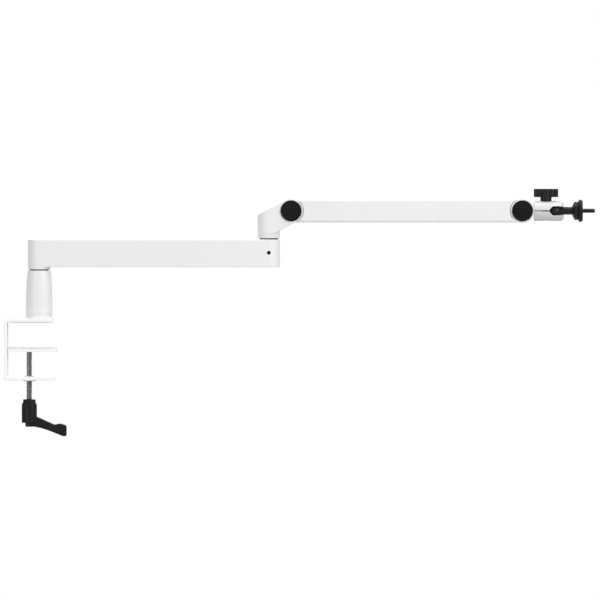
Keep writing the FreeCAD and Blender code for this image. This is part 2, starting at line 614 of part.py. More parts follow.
def ball_head_body():
    """Split clamp body: the ball's socket, its side notch and the slit that the knob closes."""
    axis = (0, PIVOT_HEIGHT)
    body = cylinder(HEAD_BODY_R, BODY_START, BODY_END, axis, "X")
    body = body.makeFillet(6.0, end_edges(body, BODY_END))
    body = body.makeFillet(0.8, end_edges(body, BODY_START))
    centre = Vector(BALL_X, 0, PIVOT_HEIGHT)
    body = body.cut(Part.makeSphere(BALL_R + RUN, centre))
    mouth = math.radians(MOUTH_ANGLE)
    reach = BODY_END - BALL_X + 2
    mouth_r = (STEM_R + 0.4) / math.cos(mouth)
    body = body.cut(Part.makeCone(mouth_r, mouth_r + reach * math.tan(mouth), reach, centre, X))
    notch_end = BALL_X - BALL_R
    corner = 4.0
    outline = [
        (notch_end, PIVOT_HEIGHT - NOTCH_HALF + corner), (notch_end + corner, PIVOT_HEIGHT - NOTCH_HALF),
        (BODY_END + 2, PIVOT_HEIGHT - NOTCH_HALF), (BODY_END + 2, PIVOT_HEIGHT + NOTCH_HALF),
        (notch_end + corner, PIVOT_HEIGHT + NOTCH_HALF), (notch_end, PIVOT_HEIGHT + NOTCH_HALF - corner),
    ]
    body = body.cut(side_plate(outline, -HEAD_BODY_R - 2, 0))
    low, high = PIVOT_HEIGHT - SPLIT_HALF, PIVOT_HEIGHT + SPLIT_HALF
    slit_start = BODY_START + 9.2
    body = body.cut(box(slit_start, BODY_END + 2, -HEAD_BODY_R - 2, 7, low, high))
    seam_floor = -HEAD_BODY_R + SEAM_DEPTH
    body = body.cut(box(BODY_START - 1, slit_start + 1, -HEAD_BODY_R - 2, seam_floor, low, high))
    body = body.cut(cylinder(M5 + RUN, BODY_START - 1, BODY_START + 8.7, axis, "X"))
    knob_at = (KNOB_X, 0)
    body = body.cut(cylinder(8.2, KNOB_SEAT, PIVOT_HEIGHT + 30, knob_at))
    body = body.cut(cylinder(M6 + 0.25, PIVOT_HEIGHT, PIVOT_HEIGHT + 30, knob_at))
    body = body.cut(cylinder(M6 + RUN, PIVOT_HEIGHT - 30, PIVOT_HEIGHT + 1, knob_at))
    return body.cut(cylinder(4.2, PIVOT_HEIGHT - 30, PIVOT_HEIGHT - HEAD_BODY_R + 3, knob_at))


def tension_screw():
    return cylinder(M6, PIVOT_HEIGHT - HEAD_BODY_R + 1.5, KNOB_SEAT + 8, (KNOB_X, 0))


def tension_knob():
    """T-shaped plastic knob: a round stem under two rounded wings."""
    at = (KNOB_X, 0)
    stem_top = KNOB_WING_LOW + 4
    stem = turned(
        [(0, KNOB_SEAT), (KNOB_STEM_R - 0.4, KNOB_SEAT), (KNOB_STEM_R, KNOB_SEAT + 0.6),
         (KNOB_STEM_R, stem_top), (0, stem_top)], at)
    wings = box(KNOB_X - WING_REACH, KNOB_X + WING_REACH, -WING_HALF, WING_HALF, KNOB_WING_LOW, KNOB_TOP)
    wings = wings.makeFillet(2.2, edges_where(wings, lambda b, e: b.YLength > 5))
    faces = edges_where(wings, lambda b, e: abs(abs(b.YMin) - WING_HALF) < 0.01 and b.YLength < 0.01)
    wings = wings.makeFillet(1.4, faces)
    hub = cylinder(KNOB_STEM_R, KNOB_WING_LOW, KNOB_TOP, at)
    hub = hub.makeFillet(1.4, flat_edges(hub, KNOB_TOP))
    knob = stem.fuse(wings).fuse(hub)
    return knob.cut(cylinder(M6 + PRESS, KNOB_SEAT - 1, KNOB_SEAT + 8.1, at))


NECK_START = BALL_X + math.sqrt(BALL_R ** 2 - STEM_R ** 2)
SPIGOT = 3.9              # how far the stem's spigot reaches past the ball's centre
FLARE_START = BALL_X + 22.0
FLARE_END = FLARE_START + 8.5
FLARE_R = 12.5
DISC_R = 15.0
DISC = 5.4
DISC_START = FLARE_END + 0.1
DISC_END = DISC_START + DISC
DISC_PAD_R = 14.0
DISC_PAD_HOLE_R = 5.0
DISC_PAD_SINK = 1.0
DISC_PAD_PROUD = 0.4
STUD_INNER_R = 2.9        # the stud inside the stem and the disc
STUD_START = DISC_END + 1.6
STUD_END = BALL_X + 53.0


def ball():
    """Ball with a flat for the stem's neck and a hole for its spigot."""
    sphere = Part.makeSphere(BALL_R, Vector(BALL_X, 0, PIVOT_HEIGHT))
    flat = cylinder(BALL_R, NECK_START, BALL_X + BALL_R + 1, (0, PIVOT_HEIGHT), "X")
    hole = cylinder(M6 + RUN, BALL_X - SPIGOT - 0.1, NECK_START + 1, (0, PIVOT_HEIGHT), "X")
    return sphere.cut(flat).cut(hole)


def stem():
    """Neck and flared seat behind the camera stud, with a spigot in the ball."""
    neck_start = NECK_START + 0.1
    spigot_end = BALL_X - SPIGOT
    profile = [
        (spigot_end, 0), (spigot_end, M6), (neck_start, M6), (neck_start, STEM_R), (FLARE_START, STEM_R),
        (FLARE_START + 3.0, FLARE_R - 0.9), (FLARE_START + 3.6, FLARE_R), (FLARE_END - 0.5, FLARE_R),
        (FLARE_END, FLARE_R - 0.5), (FLARE_END, 0),
    ]
    body = turned_along_x(profile, PIVOT_HEIGHT)
    return body.cut(cylinder(STUD_INNER_R + PRESS, FLARE_START + 1, FLARE_END + 1, (0, PIVOT_HEIGHT), "X"))


def camera_stud():
    """Quarter-inch stud: a free threaded end, with a slimmer root inside the stem and the disc."""
    axis = (0, PIVOT_HEIGHT)
    free_end = cylinder(CAMERA_STUD_R, STUD_START, STUD_END, axis, "X")
    free_end = free_end.makeChamfer(0.6, end_edges(free_end, STUD_END))
    return free_end.fuse(cylinder(STUD_INNER_R, FLARE_START + 1.2, STUD_START + 1, axis, "X"))


def lock_disc():
    """Knurled lock wheel that turns on the camera stud."""
    bore = STUD_INNER_R + RUN
    rim = 0.8
    seat = DISC_END - DISC_PAD_SINK
    profile = [
        (DISC_START, bore), (DISC_START, DISC_R - 2.2), (DISC_START + rim, DISC_R), (DISC_END - rim, DISC_R),
        (DISC_END, DISC_R - rim), (DISC_END, DISC_PAD_R), (seat, DISC_PAD_R), (seat, DISC_PAD_HOLE_R),
        (DISC_END, DISC_PAD_HOLE_R), (DISC_END, bore),
    ]
    disc = turned_along_x(profile, PIVOT_HEIGHT)
    notches = []
    count = 36
    for i in range(count):
        angle = 2 * math.pi * i / count
        at = (DISC_R * math.cos(angle), PIVOT_HEIGHT + DISC_R * math.sin(angle))
        notches.append(cylinder(0.55, DISC_START - 1, DISC_END + 1, at, "X"))
    return disc.cut(Part.makeCompound(notches))


def lock_disc_pad():
    outer, inner = DISC_PAD_R - PRESS, DISC_PAD_HOLE_R + PRESS
    return ring(outer, inner, DISC_END - DISC_PAD_SINK, DISC_END + DISC_PAD_PROUD, (0, PIVOT_HEIGHT), "X")


# ---- clamp screw, pressure plate and lever ------------------------------------------------------
SCREW_TOP = PLATE_LOW - 0.1
INSERT_TOP = -115.0
INSERT_LENGTH = 7.0
HUB_TOP = -104.0
COLLAR_LENGTH = 6.2
HUB_BOTTOM = -136.0
LEVER_TEETH = 4.0         # toothed length inside the lever
TOOTH_OUT, TOOTH_IN = 7.0, 6.2
BUTTON_R = 5.4
BUTTON = 5.2
LEVER_REACH = 50.4        # screw axis to the handle's tip
HANDLE_HALF_WIDTH = 6.6
HUB_R = 10.3
COLLAR_R = 8.5
LEVER_WEB = 4.0           # wall between the teeth and the spring's pocket


def pressure_plate():
    half = CLAMP_DEPTH / 2 - 2
    plate = box(CLAMP_BACK + PLATE + 0.5, 24.0, -half, half, PLATE_LOW, PLATE_LOW + PRESSURE_PLATE)
    corners = edges_where(plate, lambda b, e: b.ZLength > 1 and b.XMin > 0)
    plate = plate.makeFillet(5.0, corners)
    plate = plate.makeFillet(0.5, flat_edges(plate, PLATE_LOW))
    at = (SCREW_X, 0)
    plate = plate.cut(cylinder(M6 + RUN, PLATE_LOW - 1, 0, at))
    return plate.cut(cylinder(6.3, PLATE_LOW + 1.0, 0, at))


def pressure_pad():
    half = CLAMP_DEPTH / 2 - 3
    pad = box(CLAMP_BACK + PLATE + 2, 23.0, -half, half, GRIP_TOP - PRESSURE_PAD, GRIP_TOP)
    return pad.makeFillet(4.0, edges_where(pad, lambda b, e: b.ZLength > 1))


def swivel_screw():
    """Shouldered screw that holds the pressure plate on the clamp screw and lets it stay still."""
    head_r, head_low, head_top = 6.0, PLATE_LOW + 1.02, PLATE_LOW + PRESSURE_PLATE - 0.1
    thread_end = PLATE_LOW - 12
    profile = [
        (0, thread_end), (M5, thread_end), (M5, SCREW_TOP), (M6, SCREW_TOP), (M6, head_low),
        (head_r, head_low), (head_r, head_top), (0, head_top),
    ]
    screw = turned(profile, (SCREW_X, 0))
    return screw.cut(hexagon(3.0, PLATE_LOW + 0.2, PLATE_LOW + PRESSURE_PLATE, (SCREW_X, 0)))


def clamp_screw():
    at = (SCREW_X, 0)
    screw = cylinder(M8, INSERT_TOP - INSERT_LENGTH + 1, SCREW_TOP, at)
    screw = screw.makeChamfer(0.6, flat_edges(screw, SCREW_TOP))
    screw = screw.cut(cylinder(M5 + RUN, PLATE_LOW - 14, SCREW_TOP + 1, at))
    return screw.cut(cylinder(M5 + RUN, INSERT_TOP - INSERT_LENGTH, INSERT_TOP + 5, at))


def lever_insert():
    """Toothed bush fixed on the clamp screw; the lever's inner teeth drop over it."""
    at = (SCREW_X, 0)
    teeth = polygon_prism([TOOTH_OUT, TOOTH_IN] * 12, INSERT_TOP - INSERT_LENGTH, INSERT_TOP, at)
    teeth = teeth.cut(cylinder(M8 + PRESS, INSERT_TOP - INSERT_LENGTH + 0.9, 0, at))
    return teeth.cut(cylinder(M5 + RUN, -200, 0, at))


def lever_screw():
    """Button-headed screw that holds the lever and its spring on the insert."""
    at = (SCREW_X, 0)
    head = cylinder(BUTTON_R, HUB_BOTTOM - BUTTON, HUB_BOTTOM, at)
    head = head.makeFillet(1.2, flat_edges(head, HUB_BOTTOM - BUTTON))
    shank = cylinder(M5, HUB_BOTTOM, INSERT_TOP + 3, at)
    return head.fuse(shank).cut(hexagon(4.0, HUB_BOTTOM - BUTTON - 1, HUB_BOTTOM - BUTTON + 2.5, at))


def lever_handle():
    """A tapering bar that droops from the hub to a raised thumb end."""
    # corners as (distance from the screw axis, height below the hub's top)
    upper_edge = [(0, 19.0), (11.3, 22.6), (22.3, 27.4), (33.0, 32.4), (37.1, 33.2)]
    thumb = [(41.0, 31.9), (45.7, 32.1)]
    tip = [(LEVER_REACH, 35.4), (LEVER_REACH, 48.6), (LEVER_REACH - 3, 50.0)]
    lower_edge = [(41.3, 49.4), (21.1, 42.2), (7.6, 38.2), (0, 37.0)]
    outline = [(SCREW_X + x, HUB_TOP - drop) for x, drop in upper_edge + thumb + tip + lower_edge]
    bar = side_plate(outline, -HANDLE_HALF_WIDTH, HANDLE_HALF_WIDTH)
    thumb_edges = edges_where(bar, lambda b, e: b.YLength > 10 and b.XMin > SCREW_X + 43.5)
    return bar.makeFillet(1.0, thumb_edges)


def clamp_lever():
    """Hub and handle in one moulding, bored for the clamp screw, the toothed insert and the spring."""
    at = (SCREW_X, 0)
    shoulder = HUB_TOP - COLLAR_LENGTH
    hub = turned(
        [(0, HUB_TOP), (COLLAR_R - 0.5, HUB_TOP), (COLLAR_R, HUB_TOP - 0.6), (COLLAR_R, shoulder),
         (HUB_R - 0.7, shoulder), (HUB_R, shoulder - 0.8), (HUB_R, HUB_BOTTOM + 0.8),
         (HUB_R - 0.8, HUB_BOTTOM), (0, HUB_BOTTOM)], at)
    lever = hub.fuse(lever_handle())
    clear = 0.15
    tooth_low = INSERT_TOP - INSERT_LENGTH
    tooth_top = tooth_low + LEVER_TEETH
    lever = lever.cut(cylinder(M8 + 0.3, tooth_top, HUB_TOP + 1, at))
    lever = lever.cut(cylinder(TOOTH_OUT + 0.4, tooth_top, INSERT_TOP + 5, at))
    lever = lever.cut(polygon_prism([TOOTH_OUT + clear, TOOTH_IN + clear] * 12, tooth_low, tooth_top, at))
    lever = lever.cut(cylinder(M5 + 0.2, tooth_low - LEVER_WEB - 1, tooth_low, at))
    return lever.cut(cylinder(BUTTON_R + 0.1, HUB_BOTTOM - 8, tooth_low - LEVER_WEB, at))


def lever_spring():
    """Coil between the lever's inner web and the retaining screw's head."""
    top = INSERT_TOP - INSERT_LENGTH - LEVER_WEB
    wire_r, mean_r = 0.4, 4.3
    low = HUB_BOTTOM + wire_r + 0.05
    length = top - wire_r - 0.05 - low
    turns = 5
    helix = Part.Wire(Part.makeHelix(length / turns, length, mean_r))
    sides = 8
    corners = []
    for i in range(sides + 1):
        angle = 2 * math.pi * (i + 0.5) / sides
        corners.append(Vector(mean_r + wire_r * math.cos(angle), 0, wire_r * math.sin(angle)))
    sweep = Part.BRepOffsetAPI.MakePipeShell(helix)
    sweep.setFrenetMode(True)
    sweep.add(Part.makePolygon(corners), False, False)
    sweep.build()
    sweep.makeSolid()
    coil = sweep.shape()
    coil.translate(Vector(SCREW_X, 0, low))
    return coil


# ---- assembly -----------------------------------------------------------------------------------
def main():
    os.makedirs("parts", exist_ok=True)
    save("clamp_bracket", clamp_bracket())
    save("jaw_insert", jaw_insert())
    save("top_pad", top_pad())
    save("post_screws", post_screws())
    save("base_post", base_post())
    save("base_upper_bush", base_upper_bush())
    save("base_lower_bush", base_lower_bush())
    save("base_thrust_washer", base_thrust_washer())

    save("pressure_plate", pressure_plate())
    save("pressure_pad", pressure_pad())
    save("swivel_screw", swivel_screw())
    save("clamp_screw", clamp_screw())
    save("lever_insert", lever_insert())
    save("lever_screw", lever_screw())
    save("clamp_lever", clamp_lever())
    save("lever_spring", lever_spring())

    save("lower_arm_shell", lower_arm_shell())
    save("lower_arm_cover", lower_arm_cover())
    save("cover_screws", cover_screws())
    save("base_spindle", base_spindle())
    save("base_retainer_washer", base_retainer_washer())
    save("base_retainer_screw", base_retainer_screw())
    save("elbow_bush", elbow_bush())
    save("elbow_grub_screw", elbow_grub_screw())
    save("elbow_thrust_washer", elbow_thrust_washer())

    save("elbow_spindle", elbow_spindle())
    save("elbow_knuckle", elbow_knuckle())
    save("head_knuckle", head_knuckle())
    for name, x in (("elbow", PIVOT_X), ("head", HEAD_X)):
        save(name + "_pivot_bolt", pivot_bolt(x))
        save(name + "_disc_spring", pivot_disc_spring(x))
        save(name + "_pivot_nut", pivot_nut(x))
        save(name + "_cap_front", hinge_cap(x, -1))
        save(name + "_cap_back", hinge_cap(x, 1))
        save(name + "_pivot_sleeve", pivot_sleeve(x))

    save("upper_arm_tube", upper_arm_tube())
    save("elbow_hinge_block", hinge_block(PIVOT_X, 1, KNUCKLE_R - 0.2, TONGUE_HALF_HEIGHT))
    save("head_hinge_block", hinge_block(HEAD_X, -1, HEAD_TONGUE_R, HEAD_TONGUE_R))
    save("elbow_friction_washers", friction_washers(PIVOT_X, 14.0))
    save("head_friction_washers", friction_washers(HEAD_X, HEAD_TONGUE_R - 0.4))
    save("block_screws", block_screws())

    save("ball_head_screw", ball_head_screw())
    save("ball_head_body", ball_head_body())
    save("tension_screw", tension_screw())
    save("tension_knob", tension_knob())
    save("ball", ball())
    save("stem", stem())
    save("camera_stud", camera_stud())
    save("lock_disc", lock_disc())
    save("lock_disc_pad", lock_disc_pad())


main()
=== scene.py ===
import json
import math

import bmesh
import bpy
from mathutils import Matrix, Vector


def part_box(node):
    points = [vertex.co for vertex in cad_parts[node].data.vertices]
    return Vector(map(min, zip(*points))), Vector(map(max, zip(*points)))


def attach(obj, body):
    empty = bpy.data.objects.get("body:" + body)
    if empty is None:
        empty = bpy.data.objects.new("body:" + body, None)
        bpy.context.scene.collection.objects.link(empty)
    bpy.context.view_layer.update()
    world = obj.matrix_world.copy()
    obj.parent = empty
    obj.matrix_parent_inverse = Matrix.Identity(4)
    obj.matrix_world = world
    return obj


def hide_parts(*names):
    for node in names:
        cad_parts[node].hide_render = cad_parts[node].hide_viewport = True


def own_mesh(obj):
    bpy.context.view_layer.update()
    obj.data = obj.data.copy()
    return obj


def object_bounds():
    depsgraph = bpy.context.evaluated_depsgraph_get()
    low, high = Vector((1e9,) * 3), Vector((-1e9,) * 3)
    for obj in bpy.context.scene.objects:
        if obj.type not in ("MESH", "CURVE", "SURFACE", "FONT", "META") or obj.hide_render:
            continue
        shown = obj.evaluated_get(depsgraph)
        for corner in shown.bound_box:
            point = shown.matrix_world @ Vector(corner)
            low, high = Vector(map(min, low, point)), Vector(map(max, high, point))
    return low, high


# A white desk-clamp boom arm with a small ball head. The CAD frame gives every place and size. This
# script gives each CAD node its finish, and rebuilds the pieces that the frame only outlines: the
# screw threads, the moulded lever and knob, the rubber pads, the coil spring and the hinge caps.

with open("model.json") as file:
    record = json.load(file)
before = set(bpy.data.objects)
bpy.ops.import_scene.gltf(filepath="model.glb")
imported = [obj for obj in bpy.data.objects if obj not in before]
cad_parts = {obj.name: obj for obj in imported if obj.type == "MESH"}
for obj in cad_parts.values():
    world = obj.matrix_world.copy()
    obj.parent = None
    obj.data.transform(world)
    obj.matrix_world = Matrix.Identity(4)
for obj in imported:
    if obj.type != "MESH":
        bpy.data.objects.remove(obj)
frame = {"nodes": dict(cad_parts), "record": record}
cad_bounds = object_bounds()

MM = 0.001
X, Y, Z = Vector((1, 0, 0)), Vector((0, 1, 0)), Vector((0, 0, 1))

# a V thread's depth and its flat crest and root, as shares of the pitch
THREAD_DEPTH, THREAD_CREST, THREAD_ROOT = 0.61, 0.14, 0.2
METRIC_PITCH = {"clamp_screw": 1.25 * MM, "tension_screw": 1.0 * MM}
CAMERA_PITCH = 25.4 * MM / 20


# ---- places taken from the frame ----------------------------------------------------------------
def low(node):
    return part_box(node)[0]


def high(node):
    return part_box(node)[1]


def middle(node):
    return (low(node) + high(node)) / 2


def half_size(node):
    return (high(node) - low(node)) / 2


# ---- turning a mesh into a piece ----------------------------------------------------------------
def place_mesh(name, mesh, material, body, node, crease=35.0):
    """Puts a mesh on a body in place of a CAD node; edges sharper than the crease stay sharp."""
    piece = bpy.data.objects.new(name, mesh)
    bpy.context.scene.collection.objects.link(piece)
    mesh.materials.clear()
    mesh.materials.append(material)
    mesh.shade_smooth()
    mesh.set_sharp_from_angle(angle=math.radians(crease))
    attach(piece, body)
    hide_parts(node)
    return piece


def make_piece(name, bm, material, body, node, crease=35.0):
    """Welds a built form and puts it on a body in place of a CAD node."""
    bmesh.ops.remove_doubles(bm, verts=bm.verts, dist=1e-7)
    bmesh.ops.recalc_face_normals(bm, faces=bm.faces)
    mesh = bpy.data.meshes.new(name)
    bm.to_mesh(mesh)
    bm.free()
    return place_mesh(name, mesh, material, body, node, crease)


def loose_object(name, bm):
    """A working object that isn't part of the finished scene."""
    bmesh.ops.recalc_face_normals(bm, faces=bm.faces)
    mesh = bpy.data.meshes.new(name)
    bm.to_mesh(mesh)
    bm.free()
    loose = bpy.data.objects.new(name, mesh)
    bpy.context.scene.collection.objects.link(loose)
    return loose


def moulded_mesh(name, bm, voxel, smoothing, bores):
    """One seamless skin round overlapping solids, with soft corners, and then its bores cut out."""
    rough = loose_object(name, bm)
    tool = loose_object(name + "_bores", bores)
    remesh = rough.modifiers.new("skin", "REMESH")
    remesh.mode = "VOXEL"
    remesh.voxel_size = voxel
    soften = rough.modifiers.new("soften", "SMOOTH")
    soften.factor = 0.5
    soften.iterations = smoothing
    drill = rough.modifiers.new("drill", "BOOLEAN")
    drill.operation = "DIFFERENCE"
    drill.object = tool
    graph = bpy.context.evaluated_depsgraph_get()
    skin = bpy.data.meshes.new_from_object(rough.evaluated_get(graph))
    bpy.data.objects.remove(rough)
    bpy.data.objects.remove(tool)
    return skin


# ---- mesh shapes --------------------------------------------------------------------------------
def square_to(axis):
    """Two unit vectors square to an axis."""
    side = Y if abs(axis.dot(Y)) < 0.9 else X
    u = (side - axis * side.dot(axis)).normalized()
    return u, axis.cross(u)


def circle(bm, centre, axis, radius, steps):
    u, v = square_to(axis)
    angles = [2 * math.pi * i / steps for i in range(steps)]
    return [bm.verts.new(centre + (u * math.cos(a) + v * math.sin(a)) * radius) for a in angles]


def skin_between(bm, first, second):
    """Faces between two rings, either of which may be a single point."""
    steps = max(len(first), len(second))
    for i in range(steps):
        j = (i + 1) % steps
        near = [first[i % len(first)], first[j % len(first)]]
        far = [second[j % len(second)], second[i % len(second)]]
        distinct = list(dict.fromkeys(near + far))
        if len(distinct) > 2:
            bm.faces.new(distinct)


def soft_outline(corners, steps=5):
    """Rounds an outline of (radius, height) corners; a third value is that corner's rounding."""
    points = [Vector(corners[0][:2])]
    for before, here, after in zip(corners, corners[1:], corners[2:]):
        corner = Vector(here[:2])
        back, ahead = Vector(before[:2]) - corner, Vector(after[:2]) - corner
        rounding = here[2] if len(here) > 2 else 0.0
        cut = min(rounding, back.length * 0.49, ahead.length * 0.49)
        if not cut:
            points.append(corner)
            continue
        start, end = corner + back.normalized() * cut, corner + ahead.normalized() * cut
        for i in range(steps + 1):
            t = i / steps
            points.append(start.lerp(corner, t).lerp(corner.lerp(end, t), t))
    points.append(Vector(corners[-1][:2]))
    return points


def add_turned(bm, corners, centre, axis, steps=96):
    """Adds a turned solid; corners are (radius, height, rounding) in mm along the axis."""
    rings = []
    for radius, height in soft_outline(corners):
        base = centre + axis * (height * MM)
        rings.append(circle(bm, base, axis, radius * MM, steps) if radius else [bm.verts.new(base)])
    if len(rings[0]) > 1 or len(rings[-1]) > 1:
        rings.append(rings[0])
    for first, second in zip(rings, rings[1:]):
        skin_between(bm, first, second)


def add_bar(bm, sections, squareness=0.42, steps=40):
    """Adds a closed bar along X through sections of (centre, half width, half height)."""
    rings = []
    for centre, half_width, half_height in sections:
        ring = []
        for i in range(steps):
            angle = 2 * math.pi * i / steps
            c, s = math.cos(angle), math.sin(angle)
            across = math.copysign(abs(c) ** squareness, c) * half_width
            upward = math.copysign(abs(s) ** squareness, s) * half_height
            ring.append(bm.verts.new(centre + Y * across + Z * upward))
        rings.append(ring)
    for first, second in zip(rings, rings[1:]):
        skin_between(bm, first, second)
    bm.faces.new(rings[0][::-1])
    bm.faces.new(rings[-1])


def add_bore(bm, rim, end, axis, inward, radius, depth):
    """Closes a rod's cut end with a flat face round a drilled hole."""
    mouth = circle(bm, end, axis, radius, 48)
    mouth_edges = [bm.edges.new((a, b)) for a, b in zip(mouth, mouth[1:] + mouth[:1])]
    bmesh.ops.bridge_loops(bm, edges=rim + mouth_edges)
    bottom = circle(bm, end + axis * (inward * depth), axis, radius, 48)
    skin_between(bm, mouth, bottom)
    bm.faces.new(bottom)


def threaded_rod(radius, pitch, start, end, centre, axis, chamfer, bores=()):
    """A rod with a helical V thread from start to end along an axis; bores are (end, radius, depth)."""
    steps = 48
    spare_turns = 3
    depth = THREAD_DEPTH * pitch
    crest, root = THREAD_CREST * pitch, THREAD_ROOT * pitch
    flank = (pitch - crest - root) / 2
    stations = [(0, 0), (crest, 0), (crest + flank, depth), (crest + flank + root, depth)]
    turns = math.ceil((end - start) / pitch) + spare_turns
    u, v = square_to(axis)
    bm = bmesh.new()
    rows = []
    for turn in range(turns):
        for offset, drop in stations:
            row = []
            for i in range(steps):
                angle = 2 * math.pi * i / steps
                out = u * math.cos(angle) + v * math.sin(angle)
                height = start + (turn - spare_turns / 2 + i / steps) * pitch + offset
                room = max(min(height - start, end - height), 0)
                reach = min(radius - drop, radius - chamfer + room)
                row.append(bm.verts.new(centre + axis * height + out * reach))
            rows.append(row)
    per_turn = len(stations)
    for k, (row, following) in enumerate(zip(rows, rows[1:])):
        for i in range(steps - 1):
            bm.faces.new([row[i], row[i + 1], following[i + 1], following[i]])
        if k + 1 + per_turn < len(rows):
            bm.faces.new([row[-1], rows[k + per_turn][0], rows[k + 1 + per_turn][0], following[-1]])
    bored = {at: (hole, length) for at, hole, length in bores}
    for height, side in ((start, -1), (end, 1)):
        point = centre + axis * height
        everything = bm.verts[:] + bm.edges[:] + bm.faces[:]
        cut = bmesh.ops.bisect_plane(
            bm, geom=everything, dist=1e-8, plane_co=point, plane_no=axis * side, clear_outer=True)
        rim = [e for e in cut["geom_cut"] if isinstance(e, bmesh.types.BMEdge)]
        if height in bored:
            add_bore(bm, rim, point, axis, -side, *bored[height])
        else:
            bmesh.ops.edgenet_fill(bm, edges=rim)
    return bm


def coil(wire_radius, mean_radius, turns, bottom, top, centre):
    """A compression spring along Z whose end turns lie flatter than its middle ones."""
    around, per_turn = 12, 40
    even_rise, eased_rise = 0.65, 0.35
    count = turns * per_turn
    rise = top - bottom - 2 * wire_radius
    bm = bmesh.new()
    rings = []
    for k in range(count + 1):
        share = k / count
        eased = 0.5 - 0.5 * math.cos(math.pi * share)
        height = bottom + wire_radius + rise * (even_rise * share + eased_rise * eased)
        angle = 2 * math.pi * turns * share
        out = Vector((math.cos(angle), math.sin(angle), 0))
        ring = []
        for i in range(around):
            turn = 2 * math.pi * i / around
            outward = out * (mean_radius + wire_radius * math.cos(turn))
            upward = Z * (wire_radius * math.sin(turn))
            ring.append(bm.verts.new(Vector((centre.x, centre.y, height)) + (outward + upward)))
        rings.append(ring)
    for first, second in zip(rings, rings[1:]):
        skin_between(bm, first, second)
    bm.faces.new(rings[0][::-1])
    bm.faces.new(rings[-1])
    return bm


def ribbed_pad(node, corner, edge, rib_pitch, rib_depth, ribs_up):
    """A rubber slab in a node's box, with round corners, soft edges and grip ribs on one face."""
    centre, half = middle(node), half_size(node)
    columns_per_rib, rows = 8, 40
    columns = round(2 * half.x / rib_pitch) * columns_per_rib
    bm = bmesh.new()

    def point(i, j, upper):
        y = half.y * math.sin(math.pi / 2 * (2 * j / rows - 1))
        past = max(abs(y) - (half.y - corner), 0)
        inset = corner - math.sqrt(max(corner ** 2 - past ** 2, 0))
        across = 2 * i / columns - 1
        x = across * (half.x - inset)
        room = min(half.x - inset - abs(x), half.y - abs(y))
        drop = edge - math.sqrt(edge ** 2 - max(edge - room, 0) ** 2)
        if upper == ribs_up:
            groove = 0.5 - 0.5 * math.cos(2 * math.pi * x / rib_pitch)
            drop += rib_depth * groove * min(max(room / (2 * edge) - 1, 0), 1)
        return bm.verts.new(centre + Vector((x, y, half.z - drop if upper else drop - half.z)))

    rims = []
    for upper in (False, True):
        grid = [[point(i, j, upper) for i in range(columns + 1)] for j in range(rows + 1)]
        for line, following in zip(grid, grid[1:]):
            for i in range(columns):
                bm.faces.new([line[i], line[i + 1], following[i + 1], following[i]])
        rim = grid[0][:-1] + [line[-1] for line in grid[:-1]]
        rim += grid[-1][:0:-1] + [line[0] for line in grid[:0:-1]]
        rims.append(rim)
    skin_between(bm, *rims)
    return bm


# ---- materials ----------------------------------------------------------------------------------
SPECK_GRAIN = 4200


def linked(tree, kind, settings, links):
    """Adds a shader node, sets its plain inputs and links the others."""
    node = tree.nodes.new(kind)
    for name, value in settings.items():
        node.inputs[name].default_value = value
    for name, source in links.items():
        tree.links.new(source, node.inputs[name])
    return node


def noise(tree, scale, detail=3.0, stretch=(1, 1, 1)):
    """Noise in the piece's own space, with a scale in features per metre."""
    coords = tree.nodes.new("ShaderNodeTexCoord").outputs["Object"]
    placed = linked(tree, "ShaderNodeMapping", {"Scale": stretch}, {"Vector": coords}).outputs["Vector"]
    settings = {"Scale": scale, "Detail": detail, "Roughness": 0.55}
    return linked(tree, "ShaderNodeTexNoise", settings, {"Vector": placed}).outputs["Fac"]


def spread(tree, value, lowest, highest, starts=0.3, ends=0.7):
    """Spreads a value over a range, and holds it there."""
    settings = {"From Min": starts, "From Max": ends, "To Min": lowest, "To Max": highest}
    return linked(tree, "ShaderNodeMapRange", settings, {"Value": value}).outputs["Result"]


def mixed(tree, factor, first, second):
    """Mixes two colours; each is a plain colour or another shader node's output."""
    node = tree.nodes.new("ShaderNodeMix")
    node.data_type = "RGBA"
    tree.links.new(factor, node.inputs["Factor"])
    for name, value in (("A", first), ("B", second)):
        socket = next(s for s in node.inputs if s.name == name and s.type == "RGBA")
        if isinstance(value, bpy.types.NodeSocket):
            tree.links.new(value, socket)
        else:
            socket.default_value = (*value, 1)
    return next(s for s in node.outputs if s.type == "RGBA")


def painted_highlight_mask(tree, rounded):
    """White where a softened edge turns away from the face beside it: where the painted edge highlight
    goes.
    """
    dot = tree.nodes.new("ShaderNodeVectorMath")
    dot.operation = "DOT_PRODUCT"
    tree.links.new(rounded, dot.inputs[0])
    tree.links.new(tree.nodes.new("ShaderNodeNewGeometry").outputs["Normal"], dot.inputs[1])
    return spread(tree, dot.outputs["Value"], 0.0, 1.0, 1.0, 0.8)


